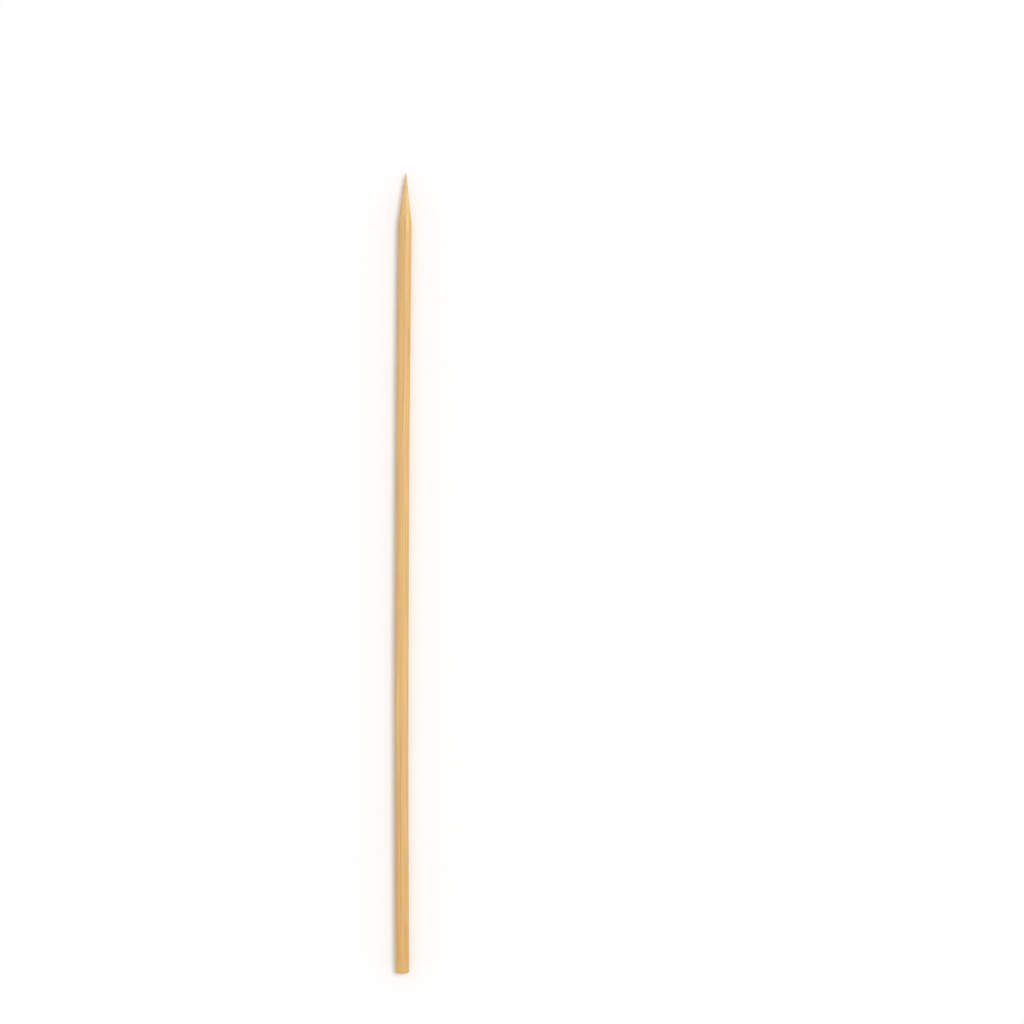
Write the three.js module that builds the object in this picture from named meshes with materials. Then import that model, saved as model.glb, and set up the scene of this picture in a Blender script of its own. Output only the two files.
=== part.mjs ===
// A bamboo skewer for grilled food: one round rod, sawn square at its butt and ground to a
// point at its other end. It has dried with a slight bow, and lies on its side with the bow flat.
// Millimetres, +Z up. The surface it lies on is z = 0, the point looks along +X, and the origin
// is on that surface, under the middle of the skewer's box.
import * as THREE from 'three';

// Driving dimensions
const skewerLength = 200;     // butt face to tip
const rodDiameter = 3.4;
const pointLength = 12.8;     // tip back to where the cone's line meets the rod's
const tipRadius = 0.18;       // rounding of the tip itself
const shoulderRadius = 25;    // ground run from the rod into the cone
const rimRadius = 0.45;       // tumbled edge round the butt face
const bowDepth = 0.5;         // sideways reach of the middle, off the line between the ends

// Fineness of the surface
const sides = 40;             // a multiple of four, so that the box is a full diameter deep
const ringSpacing = 6;
const rimSteps = 4;
const shoulderSteps = 4;
const tipSteps = 3;

const bambooColour = 0xe2b87e;
const bambooRoughness = 0.6;

const rodRadius = rodDiameter / 2;

// Angle between the cone's side and the axis. The side starts at the rod's radius, a point
// length before the tip, and touches the rounding of the tip.
function coneAngle() {
  const run = pointLength - tipRadius;
  const reach = Math.hypot(rodRadius, run);
  return Math.acos(tipRadius / reach) - Math.atan2(run, rodRadius);
}

function arcPoints(centreRadius, centreHeight, radius, from, to, steps) {
  const points = [];
  for (let step = 0; step <= steps; step++) {
    const angle = from + (to - from) * step / steps;
    const across = centreRadius + radius * Math.cos(angle);
    const along = centreHeight + radius * Math.sin(angle);
    points.push(new THREE.Vector2(across, along));
  }
  return points;
}

// The rings between two profile points, no further apart than the ring spacing.
function ringsBetween(start, end) {
  const steps = Math.ceil(start.distanceTo(end) / ringSpacing);
  const points = [];
  for (let step = 1; step < steps; step++) {
    points.push(start.clone().lerp(end, step / steps));
  }
  return points;
}

// Half of the lengthwise section, from the centre of the butt face to the tip.
function profile() {
  const cone = coneAngle();
  const coneStart = skewerLength - pointLength;
  const shoulderStart = coneStart - shoulderRadius * Math.tan(cone / 2);
  const buttCentre = new THREE.Vector2(0, 0);
  const rim = arcPoints(rodRadius - rimRadius, rimRadius, rimRadius, -Math.PI / 2, 0, rimSteps);
  const shoulder = arcPoints(
    rodRadius - shoulderRadius, shoulderStart, shoulderRadius, 0, cone, shoulderSteps);
  const tip = arcPoints(0, skewerLength - tipRadius, tipRadius, cone, Math.PI / 2, tipSteps);
  const rod = ringsBetween(rim.at(-1), shoulder[0]);
  const taper = ringsBetween(shoulder.at(-1), tip[0]);
  return [buttCentre, ...rim, ...rod, ...shoulder, ...taper, ...tip];
}

// Sideways reach at a distance from the butt: nothing at both ends, all of it in the middle.
function bowAt(distance) {
  const share = distance / skewerLength;
  return bowDepth * 4 * share * (1 - share);
}

// The rod is turned about its own Y axis, and its rings are then shifted sideways by the bow.
function skewerGeometry() {
  const geometry = new THREE.LatheGeometry(profile(), sides);
  const vertices = geometry.getAttribute('position');
  for (let index = 0; index < vertices.count; index++) {
    vertices.setX(index, vertices.getX(index) - bowAt(vertices.getY(index)));
  }
  geometry.computeVertexNormals();
  return geometry;
}

const bamboo = new THREE.MeshStandardMaterial({
  color: bambooColour,
  roughness: bambooRoughness,
  metalness: 0,
});

const skewer = new THREE.Mesh(skewerGeometry(), bamboo);
skewer.name = 'skewer';
skewer.rotation.z = -Math.PI / 2;
skewer.position.set(-skewerLength / 2, -bowDepth / 2, rodRadius);

const part = new THREE.Group();
part.add(skewer);

export default part;
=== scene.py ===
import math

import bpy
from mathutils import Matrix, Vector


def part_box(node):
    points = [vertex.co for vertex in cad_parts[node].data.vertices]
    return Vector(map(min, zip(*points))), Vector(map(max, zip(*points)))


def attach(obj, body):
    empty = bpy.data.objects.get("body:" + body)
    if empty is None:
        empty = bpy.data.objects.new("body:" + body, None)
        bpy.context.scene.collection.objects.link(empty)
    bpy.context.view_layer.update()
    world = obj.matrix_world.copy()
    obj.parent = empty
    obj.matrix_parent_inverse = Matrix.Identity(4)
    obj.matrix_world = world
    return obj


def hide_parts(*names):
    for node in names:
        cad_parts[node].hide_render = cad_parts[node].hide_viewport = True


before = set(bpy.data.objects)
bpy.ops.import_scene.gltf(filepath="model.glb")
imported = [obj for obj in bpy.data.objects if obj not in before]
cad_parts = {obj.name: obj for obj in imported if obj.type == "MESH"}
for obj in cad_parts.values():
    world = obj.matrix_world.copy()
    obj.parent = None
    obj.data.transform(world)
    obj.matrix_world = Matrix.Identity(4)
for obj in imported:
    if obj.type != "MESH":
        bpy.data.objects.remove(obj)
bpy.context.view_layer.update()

# A bamboo skewer lying on a pale table, seen from straight above. Metres.
# +X runs along the rod towards the point, and the rod's bow bulges towards +Y.

MM = 0.001

# The rod, from the frame
LOW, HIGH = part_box("skewer")
LENGTH = HIGH.x - LOW.x
DIAMETER = HIGH.z - LOW.z
BOW = (HIGH.y - LOW.y) - DIAMETER
RADIUS = DIAMETER / 2
AXIS_HEIGHT = (HIGH.z + LOW.z) / 2
BUTT = LOW.x
TIP = HIGH.x

# How it was worked
POINT_LENGTH = 12.8 * MM
TIP_RADIUS = 0.18 * MM
TIP_BEVEL = 0.8 * TIP_RADIUS
SHOULDER_RUN = 3.0 * MM
RIM_ROUND = 0.45 * MM
SHOULDER = TIP - POINT_LENGTH

# Fineness of the mesh
SIDES = 160
ROD_RINGS = (24, 18)
POINT_RINGS = (8, 8)
RIM_STEPS = 6
SHOULDER_STEPS = 8
TIP_STEPS = 4
END_GRAIN_RINGS = 14
SMOOTH_ANGLE = math.radians(50)

# How faces and edges are told apart: two stations that are the same, the normal of a face that
# looks along the rod, the share of a rounding that a straight run may reach into, and the
# shortest edge of such a run
SAME_STATION = 0.001 * MM
SQUARE_ON = 0.99
INTO_ROUNDING = 0.9
SHORTEST_RUN = 0.05 * MM

# Relief of the surface: size of a mark along, across and up, how deep it is, and the share of
# it that stands proud of the round
PLANING_MARK = ((45 * MM, 1.9 * MM, 1.9 * MM), 0.040 * MM, 0.40)
FIBRE_MARK = ((26 * MM, 0.30 * MM, 0.30 * MM), 0.080 * MM, 0.40)
GROOVE_MARK = ((60 * MM, 0.62 * MM, 0.62 * MM), 0.060 * MM, 0.62)
GRINDING_MARK = ((1.3 * MM, 0.36 * MM, 0.36 * MM), 0.040 * MM, 0.45)
SAWING_MARK = ((2.0 * MM, 1.6 * MM, 0.24 * MM), 0.070 * MM, 0.30)

# Bamboo's tones, as linear colours
STRAW = (0.815, 0.505, 0.198, 1)
HONEY = (0.790, 0.514, 0.178, 1)
BLUSH = (0.812, 0.482, 0.218, 1)
TOASTED = (0.740, 0.415, 0.140, 1)
FIBRE_BROWN = (0.520, 0.275, 0.095, 1)
PORE_BROWN = (0.330, 0.160, 0.055, 1)
PALE_PITH = (0.920, 0.640, 0.300, 1)
SKIN_TAN = (0.690, 0.430, 0.140, 1)
GOLD = (0.770, 0.530, 0.140, 1)
CARAMEL = (0.720, 0.390, 0.105, 1)

# How the fibres lie in the rod: their slant off its axis, how far they wander to a side, the
# direction of the side that was nearest the bamboo's skin, where they are finer and closer, how
# far out from the axis that side starts, and how far from the butt the rod is browned
SLANT = (0.0011, -0.0008)
WANDER = 0.36 * MM
SKIN_SIDE = (0, 0.5, -0.85)
SKIN_START = 0.1 * RADIUS
BROWNED_LENGTH = 62 * MM

# Size of the grain's patterns along the rod, across it and up
WANDERING = (70 * MM, 7 * MM, 7 * MM)
BROAD_TONE = (38 * MM, 1.9 * MM, 1.9 * MM)
SLOW_TONE = (26 * MM, 2.6 * MM, 2.6 * MM)
PITH_STRIPE = (80 * MM, 1.15 * MM, 1.15 * MM)
BUNDLE = (26 * MM, 0.62 * MM, 0.62 * MM)
SKIN_BUNDLE = (18 * MM, 0.36 * MM, 0.36 * MM)
PORE_DASH = (4.5 * MM, 0.10 * MM, 0.10 * MM)
FINE_FIBRE = (13 * MM, 0.11 * MM, 0.11 * MM)
WEAR = (5 * MM, 0.14 * MM, 0.14 * MM)
GRINDER_RING = (0.22 * MM, 1.6 * MM, 1.6 * MM)
GROUND_FUZZ = (4 * MM, 0.12 * MM, 0.12 * MM)
SAW_LINE = (math.inf, 2.4 * MM, 0.11 * MM)
SPECKLE = (0.07 * MM, 0.07 * MM, 0.07 * MM)
VESSEL = (2000 * MM, 0.085 * MM, 0.085 * MM)

# Values of a pattern between which its marks fade in or out
BLUSH_BAND = (0.38, 0.62)
STRAW_BAND = (0.42, 0.62)
PITH_EDGE = (0.18, 0.48)
PITH_CHOICE = (0.45, 0.95)
BUNDLE_EDGE = (0.10, 0.34)
BUNDLE_CHOICE = (0.10, 0.85)
BUNDLE_BREAKS = (0.40, 0.62)
CORE_EDGE = (0.05, 0.16)
PORE_BAND = (0.56, 0.68)
FINE_BAND = (0.30, 0.70)
WEAR_BAND = (0.25, 0.55)
FUZZ_BAND = (0.35, 0.70)
SPECKLE_BAND = (0.35, 0.65)
VESSEL_BAND = (0.50, 0.62)
POLISH_BAND = (0.0, 0.8)

# How strongly each of them tells on the colour, as one share or from its least to its most
SKIN_STRENGTH = 0.5
BROWNING = 0.45
PITH_STRENGTH = 0.55
BUNDLE_STRENGTH = 0.52
BUNDLE_KEPT = (0.15, 1.0)
BUNDLE_SHOWN = (0.20, 1.0)
PORE_STRENGTH = 0.55
FINE_SHADE = (0.84, 1.09)
WEAR_STRENGTH = (0.55, 1.0)
DUST_STRENGTH = (0.05, 0.28)
END_BROWNING = (0.40, 0.85)
END_STRENGTH = 0.9
OPEN_CORE = 0.45

# Height of the marks too fine for the mesh: all of it, and each mark's share, down or up
BUMP_DEPTH = 0.012 * MM
BUNDLE_SINK = 0.5
PORE_SINK = 1.2
GRINDING_RISE = 0.35
SAWING_RISE = 0.75
OPEN_END_SINK = 1.1

# Roughness of each finish, from the low fibres to the high ones or along the rod
PLANED_ROUGHNESS = (0.66, 0.48)
GROUND_ROUGHNESS = (0.56, 0.72)
SAWN_ROUGHNESS = (0.78, 0.57)
BAMBOO_SPECULAR = 0.25

# Marks that stand out on the upper side, and one painted highlight on the lit right side of the
# point: start and end along the rod, distance of the mark from the middle line, its width, its tone
# and its strength
UPPER_MARKS_AND_HIGHLIGHT = (
    (-90 * MM, -34 * MM, 0.24 * MM, 0.20 * MM, FIBRE_BROWN, 0.64),
    (-66 * MM, -45 * MM, 0.02 * MM, 0.16 * MM, PALE_PITH, 0.40),
    (-82 * MM, -38 * MM, 0.98 * MM, 0.20 * MM, FIBRE_BROWN, 0.52),
    (-61 * MM, -39 * MM, -1.12 * MM, 0.18 * MM, FIBRE_BROWN, 0.50),
    (-82 * MM, -60 * MM, -0.80 * MM, 0.16 * MM, FIBRE_BROWN, 0.42),
    (-98 * MM, -86 * MM, -0.82 * MM, 0.90 * MM, CARAMEL, 0.62),
    (-98 * MM, -88 * MM, 0.78 * MM, 0.80 * MM, CARAMEL, 0.42),
    (-93 * MM, -85 * MM, 0.40 * MM, 0.16 * MM, FIBRE_BROWN, 0.50),
    (3 * MM, 22 * MM, -0.14 * MM, 0.50 * MM, GOLD, 0.60),
    (37 * MM, 43 * MM, 0.30 * MM, 0.22 * MM, GOLD, 0.50),
    (36 * MM, 43 * MM, -0.55 * MM, 0.24 * MM, PALE_PITH, 0.45),
    (22 * MM, 37 * MM, 0.25 * MM, 1.20 * MM, BLUSH, 0.55),
    (52 * MM, 63 * MM, -1.22 * MM, 0.18 * MM, FIBRE_BROWN, 0.45),
    (66 * MM, 87 * MM, -0.60 * MM, 0.50 * MM, PALE_PITH, 0.50),
    (82 * MM, 90 * MM, -0.04 * MM, 0.16 * MM, FIBRE_BROWN, 0.40),
    # A painted highlight, not grain: a pale streak along the lit right side of the shoulder and
    # point
    (84 * MM, 97 * MM, -0.70 * MM, 0.72 * MM, PALE_PITH, 0.95),
)

# The height over the rod's axis at which they are whole, and the shares of a mark's width and
# length over which it fades
UPPER_SIDE = 0.3 * MM
MARK_CORE = 0.2
MARK_EDGE = 0.7
MARK_END = 0.25

# Where the ends of the rod lie in the photograph's frame, in pixels from its top left
PHOTO_PIXELS = 1024
TIP_PIXEL = (405.6, 173.5)
BUTT_PIXEL = (402.4, 973.0)
LENS = 100.0
SENSOR = 36.0
NEAREST_SEEN = 0.01

# Table, lamp and sky. The table gives back a little less light than the white that it shows.
TABLE_SIZE = 6.0
TABLE_WHITE = 0.93
TABLE_ROUGHNESS = 0.9
SEEN_WHITE = 1.0
SKY_LIGHT = 0.73
LAMP_STRENGTH = 0.95
LAMP_ANGLE = math.radians(22)
LAMP_TOWARDS = (0.25, -0.38, 0.89)


# Modelling helpers

def deselect_objects():
    bpy.ops.object.select_all(action="DESELECT")


def choose(piece):
    """Makes a piece the only one selected, and the active one."""
    deselect_objects()
    piece.select_set(True)
    bpy.context.view_layer.objects.active = piece


def edit(piece, mode):
    """Opens a piece in edit mode with nothing selected."""
    choose(piece)
    bpy.ops.object.mode_set(mode="EDIT")
    bpy.ops.mesh.select_mode(type=mode)
    bpy.ops.mesh.select_all(action="DESELECT")


def leave_edit():
    bpy.ops.object.mode_set(mode="OBJECT")


def select_faces(piece, wanted):
    """Selects the faces whose centre and normal are wanted, and stays in edit mode."""
    edit(piece, "FACE")
    leave_edit()
    for face in piece.data.polygons:
        face.select = wanted(face.center, face.normal)
    bpy.ops.object.mode_set(mode="EDIT")


def select_edges(piece, wanted):
    """Selects the edges whose two ends are wanted, and stays in edit mode."""
    edit(piece, "EDGE")
    leave_edit()
    places = piece.data.vertices
    for edge in piece.data.edges:
        start, end = (places[index].co for index in edge.vertices)
        edge.select = wanted(start, end)
    bpy.ops.object.mode_set(mode="EDIT")


def near(a, b):
    return abs(a - b) < SAME_STATION


def bevel_ring(piece, station, offset, steps):
    """Rounds the ring of edges that goes round the rod at one station of its length."""
    select_edges(piece, lambda a, b: near(a.x, station) and near(b.x, station))
    bpy.ops.mesh.bevel(offset=offset, segments=steps, affect="EDGES", clamp_overlap=False)
    leave_edit()


def ring_cuts(piece, low, high, counts):
    """Cuts the lengthwise edges between two stations into rings."""
    def lengthwise(a, b):
        inside = low <= min(a.x, b.x) and max(a.x, b.x) <= high
        return inside and abs(a.x - b.x) > SHORTEST_RUN
    for count in counts:
        select_edges(piece, lengthwise)
        bpy.ops.mesh.subdivide(number_cuts=count - 1)
        leave_edit()


def apply_modifier(piece, modifier):
    choose(piece)
    bpy.ops.object.modifier_apply(modifier=modifier.name)


def press_marks(piece, mark, group="", crease="SOFT_NOISE"):
    """Presses marks into the surface of a group of vertices, soft ones or sharp grooves."""
    size, depth, proud = mark
    deselect_objects()
    bpy.ops.object.empty_add(location=(0, 0, 0))
    guide = bpy.context.active_object
    guide.scale = size
    bpy.context.view_layer.update()
    pattern = bpy.data.textures.new("marks", "CLOUDS")
    pattern.noise_scale = 1.0
    pattern.noise_type = crease
    marks = piece.modifiers.new("marks", "DISPLACE")
    marks.texture = pattern
    marks.texture_coords = "OBJECT"
    marks.texture_coords_object = guide
    marks.strength = depth
    marks.mid_level = 1 - proud
    marks.vertex_group = group
    apply_modifier(piece, marks)
    bpy.data.textures.remove(pattern)
    bpy.data.objects.remove(guide)


# The skewer's shape

def planed_rod():
    """The round rod, from the butt to the shoulder."""
    deselect_objects()
    bpy.ops.mesh.primitive_cylinder_add(
        vertices=SIDES, radius=RADIUS, depth=SHOULDER - BUTT,
        location=((BUTT + SHOULDER) / 2, 0, 0), rotation=(0, math.pi / 2, 0))
    rod = bpy.context.active_object
    rod.name = rod.data.name = "bamboo_skewer"
    bpy.ops.object.transform_apply(location=True, rotation=True, scale=True)
    return rod


def grind_point(rod):
    """Draws the end face out to the tip, and rounds the tip and the shoulder."""
    select_faces(rod, lambda centre, normal: normal.x > SQUARE_ON and near(centre.x, SHOULDER))
    bpy.ops.mesh.extrude_region_move(
        TRANSFORM_OT_translate={"value": (POINT_LENGTH, 0, 0)})
    thin = TIP_RADIUS / RADIUS
    bpy.ops.transform.resize(value=(1, thin, thin), center_override=(TIP, 0, 0))
    leave_edit()
    bevel_ring(rod, TIP, TIP_BEVEL, TIP_STEPS)
    bevel_ring(rod, SHOULDER, SHOULDER_RUN / 2, SHOULDER_STEPS)


def tumble_rim(rod):
    bevel_ring(rod, BUTT, RIM_ROUND, RIM_STEPS)


def cut_rings(rod):
    """Gives the straight runs and the end faces enough rings to carry the grain's relief."""
    rim_gap = INTO_ROUNDING * RIM_ROUND
    shoulder_gap = INTO_ROUNDING * SHOULDER_RUN / 2
    tip_gap = INTO_ROUNDING * TIP_BEVEL
    ring_cuts(rod, BUTT + rim_gap, SHOULDER - shoulder_gap, ROD_RINGS)
    ring_cuts(rod, SHOULDER + shoulder_gap, TIP - tip_gap, POINT_RINGS)
    select_faces(rod, lambda centre, normal: normal.x > SQUARE_ON and near(centre.x, TIP))
    bpy.ops.mesh.poke()
    leave_edit()
    select_faces(rod, lambda centre, normal: normal.x < -SQUARE_ON and near(centre.x, BUTT))
    step = (RADIUS - RIM_ROUND) / (END_GRAIN_RINGS + 1)
    for _ in range(END_GRAIN_RINGS):
        bpy.ops.mesh.inset(thickness=step, depth=0)
    bpy.ops.mesh.poke()
    leave_edit()


def vertex_band(rod, name, low, high, fade):
    """A group of the vertices between two stations, fading out over a length at both."""
    band = rod.vertex_groups.new(name=name)
    for vertex in rod.data.vertices:
        share = min(1.0, (vertex.co.x - low) / fade, (high - vertex.co.x) / fade)
        if share > 0:
            band.add([vertex.index], share, "REPLACE")
    return band.name


def press_grain(rod):
    """The flats of planing, the fibres' ridges, and the grinder's and the saw's marks."""
    side = vertex_band(rod, "side", BUTT + RIM_ROUND / 2, TIP, 2 * RIM_ROUND)
    point = vertex_band(rod, "point", SHOULDER - SHOULDER_RUN, TIP, SHOULDER_RUN)
    butt = vertex_band(rod, "butt", BUTT - RIM_ROUND, BUTT + RIM_ROUND / 2, RIM_ROUND / 2)
    press_marks(rod, PLANING_MARK)
    press_marks(rod, FIBRE_MARK, side)
    press_marks(rod, GROOVE_MARK, side, crease="HARD_NOISE")
    press_marks(rod, GRINDING_MARK, point)
    press_marks(rod, SAWING_MARK, butt)


def bow_and_lay(rod):
    """Bends the rod sideways to an arc, and lays it on the table where the frame has it."""
    bend = rod.modifiers.new("bow", "SIMPLE_DEFORM")
    bend.deform_method = "BEND"
    bend.deform_axis = "Z"
    arc_angle = 8 * BOW / LENGTH
    bend.angle = -arc_angle
    apply_modifier(rod, bend)
    edit(rod, "VERT")
    bpy.ops.mesh.select_all(action="SELECT")
    bpy.ops.transform.translate(value=(0, BOW / 2, AXIS_HEIGHT))
    bpy.ops.mesh.normals_make_consistent(inside=False)
    leave_edit()
    choose(rod)
    bpy.ops.object.shade_smooth_by_angle(angle=SMOOTH_ANGLE)


# Materials

class Recipe:
    """The nodes of one material, added by short calls that return an output."""

    def __init__(self, name):
        self.material = bpy.data.materials.new(name)
        self.material.use_nodes = True
        self.nodes = self.material.node_tree.nodes
        self.links = self.material.node_tree.links
        self.shader = self.nodes["Principled BSDF"]

    def feed(self, socket, value):
        """Gives a socket another node's output, or a value of its own."""
        if isinstance(value, bpy.types.NodeSocket):
            self.links.new(value, socket)
        else:
            socket.default_value = value

    def add(self, kind, output=0, **inputs):
        node = self.nodes.new(kind)
        for name, value in inputs.items():
            self.feed(node.inputs[name], value)
        return node.outputs[output]

    def operate(self, kind, operation, a, b, output=0):
        node = self.nodes.new(kind)
        node.operation = operation
        self.feed(node.inputs[0], a)
        self.feed(node.inputs[1], b)
        return node.outputs[output]

    def maths(self, operation, a, b=0.0):
        return self.operate("ShaderNodeMath", operation, a, b)

    def times(self, first, *others):
        """The product of some numbers."""
        for other in others:
            first = self.maths("MULTIPLY", first, other)
        return first

    def vector(self, operation, a, b):
        return self.operate("ShaderNodeVectorMath", operation, a, b)

    def reach(self, place, direction):
        """How far a place lies in a direction."""
        return self.operate("ShaderNodeVectorMath", "DOT_PRODUCT", place, direction, "Value")

    def parts(self, place):
        node = self.nodes.new("ShaderNodeSeparateXYZ")
        self.links.new(place, node.inputs[0])
        return node.outputs

    def join(self, x, y, z):
        return self.add("ShaderNodeCombineXYZ", X=x, Y=y, Z=z)

    def ramp(self, value, band, ends=(0.0, 1.0)):
        """Runs softly from the first end to the second, while the value crosses a band."""
        node = self.nodes.new("ShaderNodeMapRange")
        node.interpolation_type = "SMOOTHSTEP"
        for socket, setting in zip(node.inputs, (value, *band, *ends)):
            self.feed(socket, setting)
        return node.outputs[0]

    def blend(self, share, colour_a, colour_b):
        """The first colour, and a share of the second over it."""
        node = self.nodes.new("ShaderNodeMix")
        node.data_type = "RGBA"
        self.feed(node.inputs["Factor"], share)
        self.feed(node.inputs["A"], colour_a)
        self.feed(node.inputs["B"], colour_b)
        return node.outputs["Result"]

    def scaled(self, place, size):
        """A place counted in marks of a size along the rod, across it and up."""
        return self.vector("MULTIPLY", place, tuple(1 / extent for extent in size))

    def noise(self, place, size, detail=2.0, output=0):
        return self.add("ShaderNodeTexNoise", output, Vector=self.scaled(place, size),
                        Scale=1.0, Detail=detail, Roughness=0.5)

    def strands(self, place, size, endless=False):
        """Distance from the nearest strand's middle, and that strand's own three random shares."""
        place = self.scaled(place, size)
        node = self.nodes.new("ShaderNodeTexVoronoi")
        if endless:
            node.voronoi_dimensions = "2D"
            ends = self.parts(place)
            place = self.join(ends["Y"], ends["Z"], 0.0)
        self.feed(node.inputs["Vector"], place)
        self.feed(node.inputs["Scale"], 1.0)
        split = self.nodes.new("ShaderNodeSeparateColor")
        self.links.new(node.outputs["Color"], split.inputs[0])
        return node.outputs["Distance"], split.outputs


def straightened(recipe):
    """The place in the rod as it was before it bowed: along it, and across and up from its axis."""
    place = recipe.add("ShaderNodeTexCoord", "Object")
    share = recipe.times(recipe.parts(place)["X"], 2 / LENGTH)
    sag = recipe.times(share, share, BOW)
    moved = recipe.vector("ADD", place, recipe.join(0.0, sag, 0.0))
    return recipe.vector("SUBTRACT", moved, (0, BOW / 2, AXIS_HEIGHT))


def along_fibres(recipe, straight):
    """The same place set against the fibres, which slant and wander a little in the rod."""
    along = recipe.parts(straight)["X"]
    slant = recipe.join(0.0, recipe.times(along, SLANT[0]), recipe.times(along, SLANT[1]))
    drift = recipe.noise(straight, WANDERING, 1.0, "Color")
    drift = recipe.vector("SUBTRACT", drift, (0.5, 0.5, 0.5))
    drift = recipe.vector("MULTIPLY", drift, (0, WANDER, WANDER))
    return recipe.vector("ADD", recipe.vector("ADD", straight, slant), drift)


def upper_marks_and_highlight(recipe, straight, tone, wear):
    """Lays the marks that stand out along the rod's upper side, and a painted highlight on the
    right of the point, broken up a little by wear.
    """
    place = recipe.parts(straight)
    above = recipe.ramp(place["Z"], (0.0, UPPER_SIDE))
    for start, end, aside, width, colour, strength in UPPER_MARKS_AND_HIGHLIGHT:
        away = recipe.maths("ABSOLUTE", recipe.maths("SUBTRACT", place["Y"], aside))
        share = recipe.ramp(away, (MARK_CORE * width, MARK_EDGE * width), (strength, 0))
        fade = MARK_END * (end - start)
        rise = recipe.ramp(place["X"], (start, start + fade))
        fall = recipe.ramp(place["X"], (end - fade, end), (1, 0))
        tone = recipe.blend(recipe.times(share, rise, fall, above, wear), tone, colour)
    return tone


def ground_tone(recipe, straight, fibres):
    """The slow changes of tone, with the tanner skin side and the browner butt."""
    broad = recipe.noise(fibres, BROAD_TONE)
    slow = recipe.noise(fibres, SLOW_TONE)
    tone = recipe.blend(recipe.ramp(broad, BLUSH_BAND), HONEY, BLUSH)
    tone = recipe.blend(recipe.ramp(slow, STRAW_BAND), tone, STRAW)
    skin = recipe.ramp(recipe.reach(straight, SKIN_SIDE), (SKIN_START, RADIUS))
    tone = recipe.blend(recipe.times(skin, SKIN_STRENGTH), tone, SKIN_TAN)
    along = recipe.parts(straight)["X"]
    browned = recipe.ramp(along, (BUTT, BUTT + BROWNED_LENGTH), (BROWNING, 0.0))
    return recipe.blend(browned, tone, TOASTED), skin


def fibre_bundles(recipe, fibres, size):
    """Bundles of fibres: how much of each shows, over its whole width and in its core."""
    gap, shares = recipe.strands(fibres, size, endless=True)
    kept = recipe.ramp(shares["Red"], BUNDLE_CHOICE, BUNDLE_KEPT)
    shown = recipe.ramp(recipe.noise(fibres, size), BUNDLE_BREAKS, BUNDLE_SHOWN)
    body = recipe.times(recipe.ramp(gap, BUNDLE_EDGE, (1, 0)), kept, shown)
    core = recipe.times(recipe.ramp(gap, CORE_EDGE, (1, 0)), kept)
    return body, core


def grain(recipe):
    """Bamboo's grain all through the rod: place, colour, height, and its bundles and cores."""
    straight = straightened(recipe)
    fibres = along_fibres(recipe, straight)
    tone, skin = ground_tone(recipe, straight, fibres)

    gap, shares = recipe.strands(fibres, PITH_STRIPE)
    pith = recipe.times(recipe.ramp(gap, PITH_EDGE, (1, 0)),
                        recipe.ramp(shares["Green"], PITH_CHOICE))
    tone = recipe.blend(recipe.times(pith, PITH_STRENGTH), tone, PALE_PITH)

    wear = recipe.ramp(recipe.noise(fibres, WEAR), WEAR_BAND, WEAR_STRENGTH)
    tone = upper_marks_and_highlight(recipe, straight, tone, wear)

    body, core = fibre_bundles(recipe, fibres, BUNDLE)
    skin_body, skin_core = fibre_bundles(recipe, fibres, SKIN_BUNDLE)
    body = recipe.maths("MAXIMUM", body, recipe.times(skin_body, skin))
    core = recipe.maths("MAXIMUM", core, recipe.times(skin_core, skin))
    tone = recipe.blend(recipe.times(body, BUNDLE_STRENGTH), tone, FIBRE_BROWN)

    dashes = recipe.noise(fibres, PORE_DASH, 1.0)
    pores = recipe.times(recipe.ramp(dashes, PORE_BAND), core)
    tone = recipe.blend(recipe.times(pores, PORE_STRENGTH), tone, PORE_BROWN)

    fine = recipe.noise(fibres, FINE_FIBRE, 3.0)
    shade = recipe.ramp(fine, FINE_BAND, FINE_SHADE)
    colour = recipe.vector("MULTIPLY", tone, recipe.join(shade, shade, shade))
    height = recipe.maths("SUBTRACT", fine, recipe.times(body, BUNDLE_SINK))
    height = recipe.maths("SUBTRACT", height, recipe.times(pores, PORE_SINK))
    return straight, colour, height, body, core


def finish_with(recipe, colour, roughness, height):
    recipe.feed(recipe.shader.inputs["Base Color"], colour)
    recipe.feed(recipe.shader.inputs["Roughness"], roughness)
    recipe.shader.inputs["Specular IOR Level"].default_value = BAMBOO_SPECULAR
    bump = recipe.add("ShaderNodeBump", Strength=1.0, Distance=BUMP_DEPTH, Height=height)
    recipe.feed(recipe.shader.inputs["Normal"], bump)
    return recipe.material


def planed_bamboo():
    """The rod's side, planed and tumbled to a satin."""
    recipe = Recipe("planed_bamboo")
    _, colour, height, _, _ = grain(recipe)
    roughness = recipe.ramp(height, POLISH_BAND, PLANED_ROUGHNESS)
    return finish_with(recipe, colour, roughness, height)


def ground_bamboo():
    """The point, rougher and a little paler, with the grinder's faint rings."""
    recipe = Recipe("ground_bamboo")
    straight, colour, height, _, _ = grain(recipe)
    along = recipe.parts(straight)["X"]
    shoulder = (SHOULDER, SHOULDER + SHOULDER_RUN)
    reached = recipe.ramp(along, shoulder)
    rings = recipe.noise(straight, GRINDER_RING, 3.0)
    fuzz = recipe.noise(straight, GROUND_FUZZ, 3.0)
    dust = recipe.times(reached, recipe.ramp(fuzz, FUZZ_BAND, DUST_STRENGTH))
    colour = recipe.blend(dust, colour, PALE_PITH)
    rough = recipe.times(recipe.maths("ADD", rings, fuzz), GRINDING_RISE)
    height = recipe.maths("ADD", height, recipe.times(rough, reached))
    roughness = recipe.ramp(along, shoulder, GROUND_ROUGHNESS)
    return finish_with(recipe, colour, roughness, height)


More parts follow.
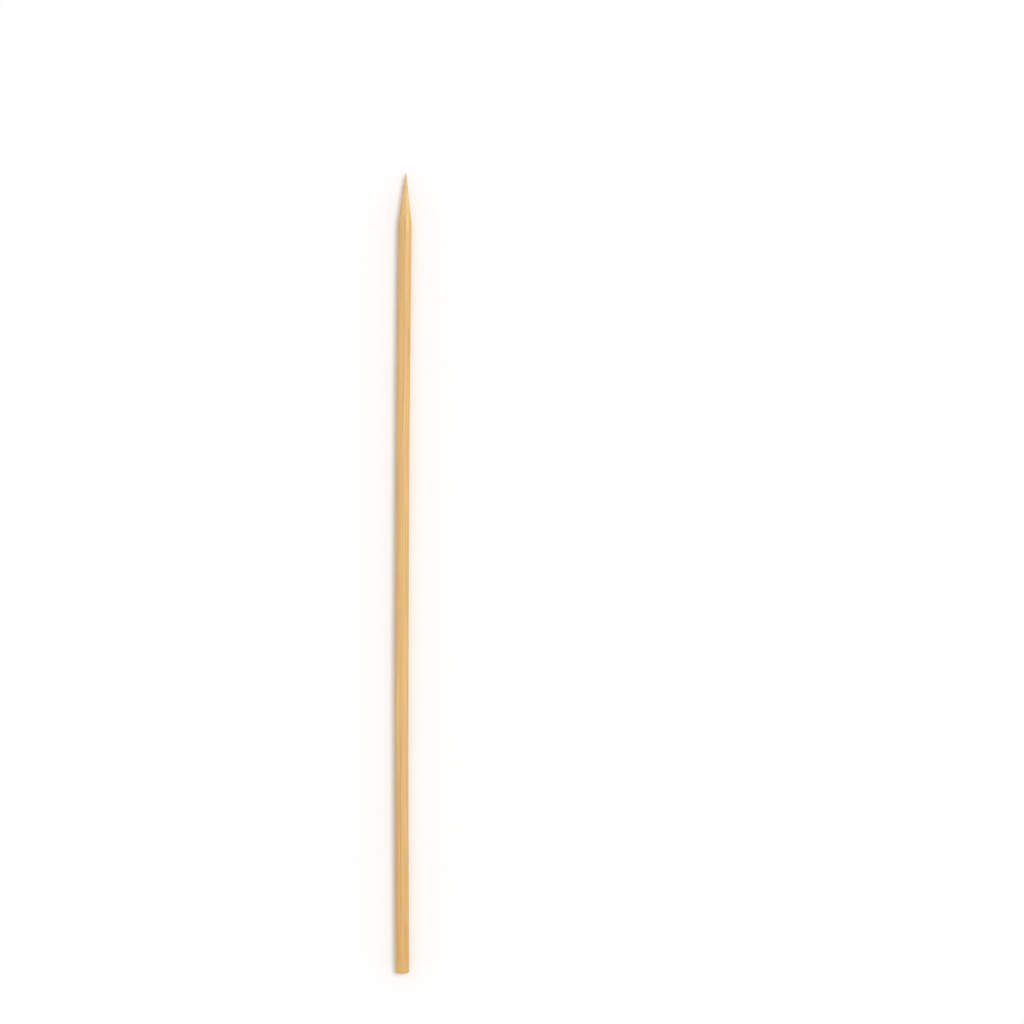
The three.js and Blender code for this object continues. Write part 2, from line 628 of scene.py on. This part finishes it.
def sawn_bamboo():
    """The butt's end grain, with its cut bundles and their open vessels, and the saw's lines."""
    recipe = Recipe("sawn_bamboo")
    straight, colour, height, body, core = grain(recipe)
    along = recipe.parts(straight)["X"]
    rim = (BUTT, BUTT + RIM_ROUND)
    cut = recipe.ramp(along, rim, (1, 0))
    lines = recipe.noise(straight, SAW_LINE)
    speckle = recipe.noise(straight, SPECKLE)
    vessels = recipe.times(recipe.ramp(recipe.noise(straight, VESSEL, 0.0), VESSEL_BAND), body)
    open_ends = recipe.maths("MAXIMUM", vessels, recipe.times(core, OPEN_CORE))
    browned = recipe.ramp(speckle, SPECKLE_BAND, END_BROWNING)
    colour = recipe.blend(recipe.times(browned, cut), colour, TOASTED)
    colour = recipe.blend(recipe.times(body, END_STRENGTH, cut), colour, FIBRE_BROWN)
    colour = recipe.blend(recipe.times(open_ends, END_STRENGTH, cut), colour, PORE_BROWN)
    rough = recipe.times(recipe.maths("ADD", lines, speckle), SAWING_RISE)
    rough = recipe.maths("SUBTRACT", rough, recipe.times(open_ends, OPEN_END_SINK))
    height = recipe.maths("ADD", height, recipe.times(rough, cut))
    roughness = recipe.ramp(along, rim, SAWN_ROUGHNESS)
    return finish_with(recipe, colour, roughness, height)


def dress(rod):
    """Gives the side, the point and the butt their finishes."""
    finishes = (planed_bamboo(), ground_bamboo(), sawn_bamboo())
    for material in finishes:
        rod.data.materials.append(material)
    planed, ground, sawn = range(len(finishes))
    for face in rod.data.polygons:
        if face.center.x > SHOULDER:
            face.material_index = ground
        elif face.center.x < BUTT + RIM_ROUND:
            face.material_index = sawn
        else:
            face.material_index = planed


# Table, light and camera

def seen_share(nodes, links):
    """One for a ray that shows the background: from the camera, a reflection or clear glass."""
    rays = nodes.new("ShaderNodeLightPath")
    seen = rays.outputs["Is Camera Ray"]
    for name in ("Is Glossy Ray", "Is Transmission Ray"):
        either = nodes.new("ShaderNodeMath")
        either.operation = "MAXIMUM"
        links.new(seen, either.inputs[0])
        links.new(rays.outputs[name], either.inputs[1])
        seen = either.outputs[0]
    return seen


def pale_table():
    """A plain table that renders white to the eye, and still takes the rod's shadow."""
    deselect_objects()
    bpy.ops.mesh.primitive_plane_add(size=TABLE_SIZE)
    table = bpy.context.active_object
    table.name = "pale_table"
    recipe = Recipe("pale_table")
    seen = seen_share(recipe.nodes, recipe.links)
    white = recipe.ramp(seen, (0, 1), (TABLE_WHITE, SEEN_WHITE))
    recipe.feed(recipe.shader.inputs["Base Color"], recipe.join(white, white, white))
    recipe.shader.inputs["Roughness"].default_value = TABLE_ROUGHNESS
    recipe.shader.inputs["Specular IOR Level"].default_value = 0.0
    table.data.materials.append(recipe.material)


def soft_lamp():
    sun = bpy.data.lights.new("soft_lamp", "SUN")
    sun.energy = LAMP_STRENGTH
    sun.angle = LAMP_ANGLE
    lamp = bpy.data.objects.new("soft_lamp", sun)
    lamp.rotation_euler = Vector(LAMP_TOWARDS).to_track_quat("Z", "Y").to_euler()
    bpy.context.scene.collection.objects.link(lamp)


def white_sky():
    """A sky that lights the rod softly, and is seen as white."""
    world = bpy.data.worlds.new("white_sky")
    bpy.context.scene.world = world
    world.use_nodes = True
    nodes, links = world.node_tree.nodes, world.node_tree.links
    strength = nodes.new("ShaderNodeMapRange")
    strength.inputs["To Min"].default_value = SKY_LIGHT
    strength.inputs["To Max"].default_value = SEEN_WHITE
    links.new(seen_share(nodes, links), strength.inputs["Value"])
    background = nodes["Background"]
    background.inputs["Color"].default_value = (1, 1, 1, 1)
    links.new(strength.outputs[0], background.inputs["Strength"])


def overhead_camera():
    """Looks straight down, with the rod's ends where the photograph has them."""
    tip, butt = Vector(TIP_PIXEL), Vector(BUTT_PIXEL)
    span = tip - butt
    pixel = LENGTH / span.length
    lean = math.atan2(span.x, -span.y)
    right = Vector((math.sin(lean), -math.cos(lean)))
    up = Vector((math.cos(lean), math.sin(lean)))
    off = (tip + butt) / 2 - Vector((PHOTO_PIXELS / 2, PHOTO_PIXELS / 2))
    place = Vector((0, -BOW / 2)) + pixel * (off.y * up - off.x * right)
    distance = PHOTO_PIXELS * pixel * LENS / SENSOR
    camera_data = bpy.data.cameras.new("overhead")
    camera_data.lens = LENS
    camera_data.sensor_width = SENSOR
    camera_data.clip_start = NEAREST_SEEN
    camera = bpy.data.objects.new("overhead", camera_data)
    camera.location = (place.x, place.y, AXIS_HEIGHT + distance)
    camera.rotation_euler = (0, 0, lean - math.pi / 2)
    bpy.context.scene.collection.objects.link(camera)
    bpy.context.scene.camera = camera
    bpy.context.scene.view_settings.view_transform = "Standard"


overhead_camera()
soft_lamp()
white_sky()
pale_table()

skewer = planed_rod()
grind_point(skewer)
tumble_rim(skewer)
cut_rings(skewer)
press_grain(skewer)
dress(skewer)
bow_and_lay(skewer)

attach(skewer, "root")
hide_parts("skewer")
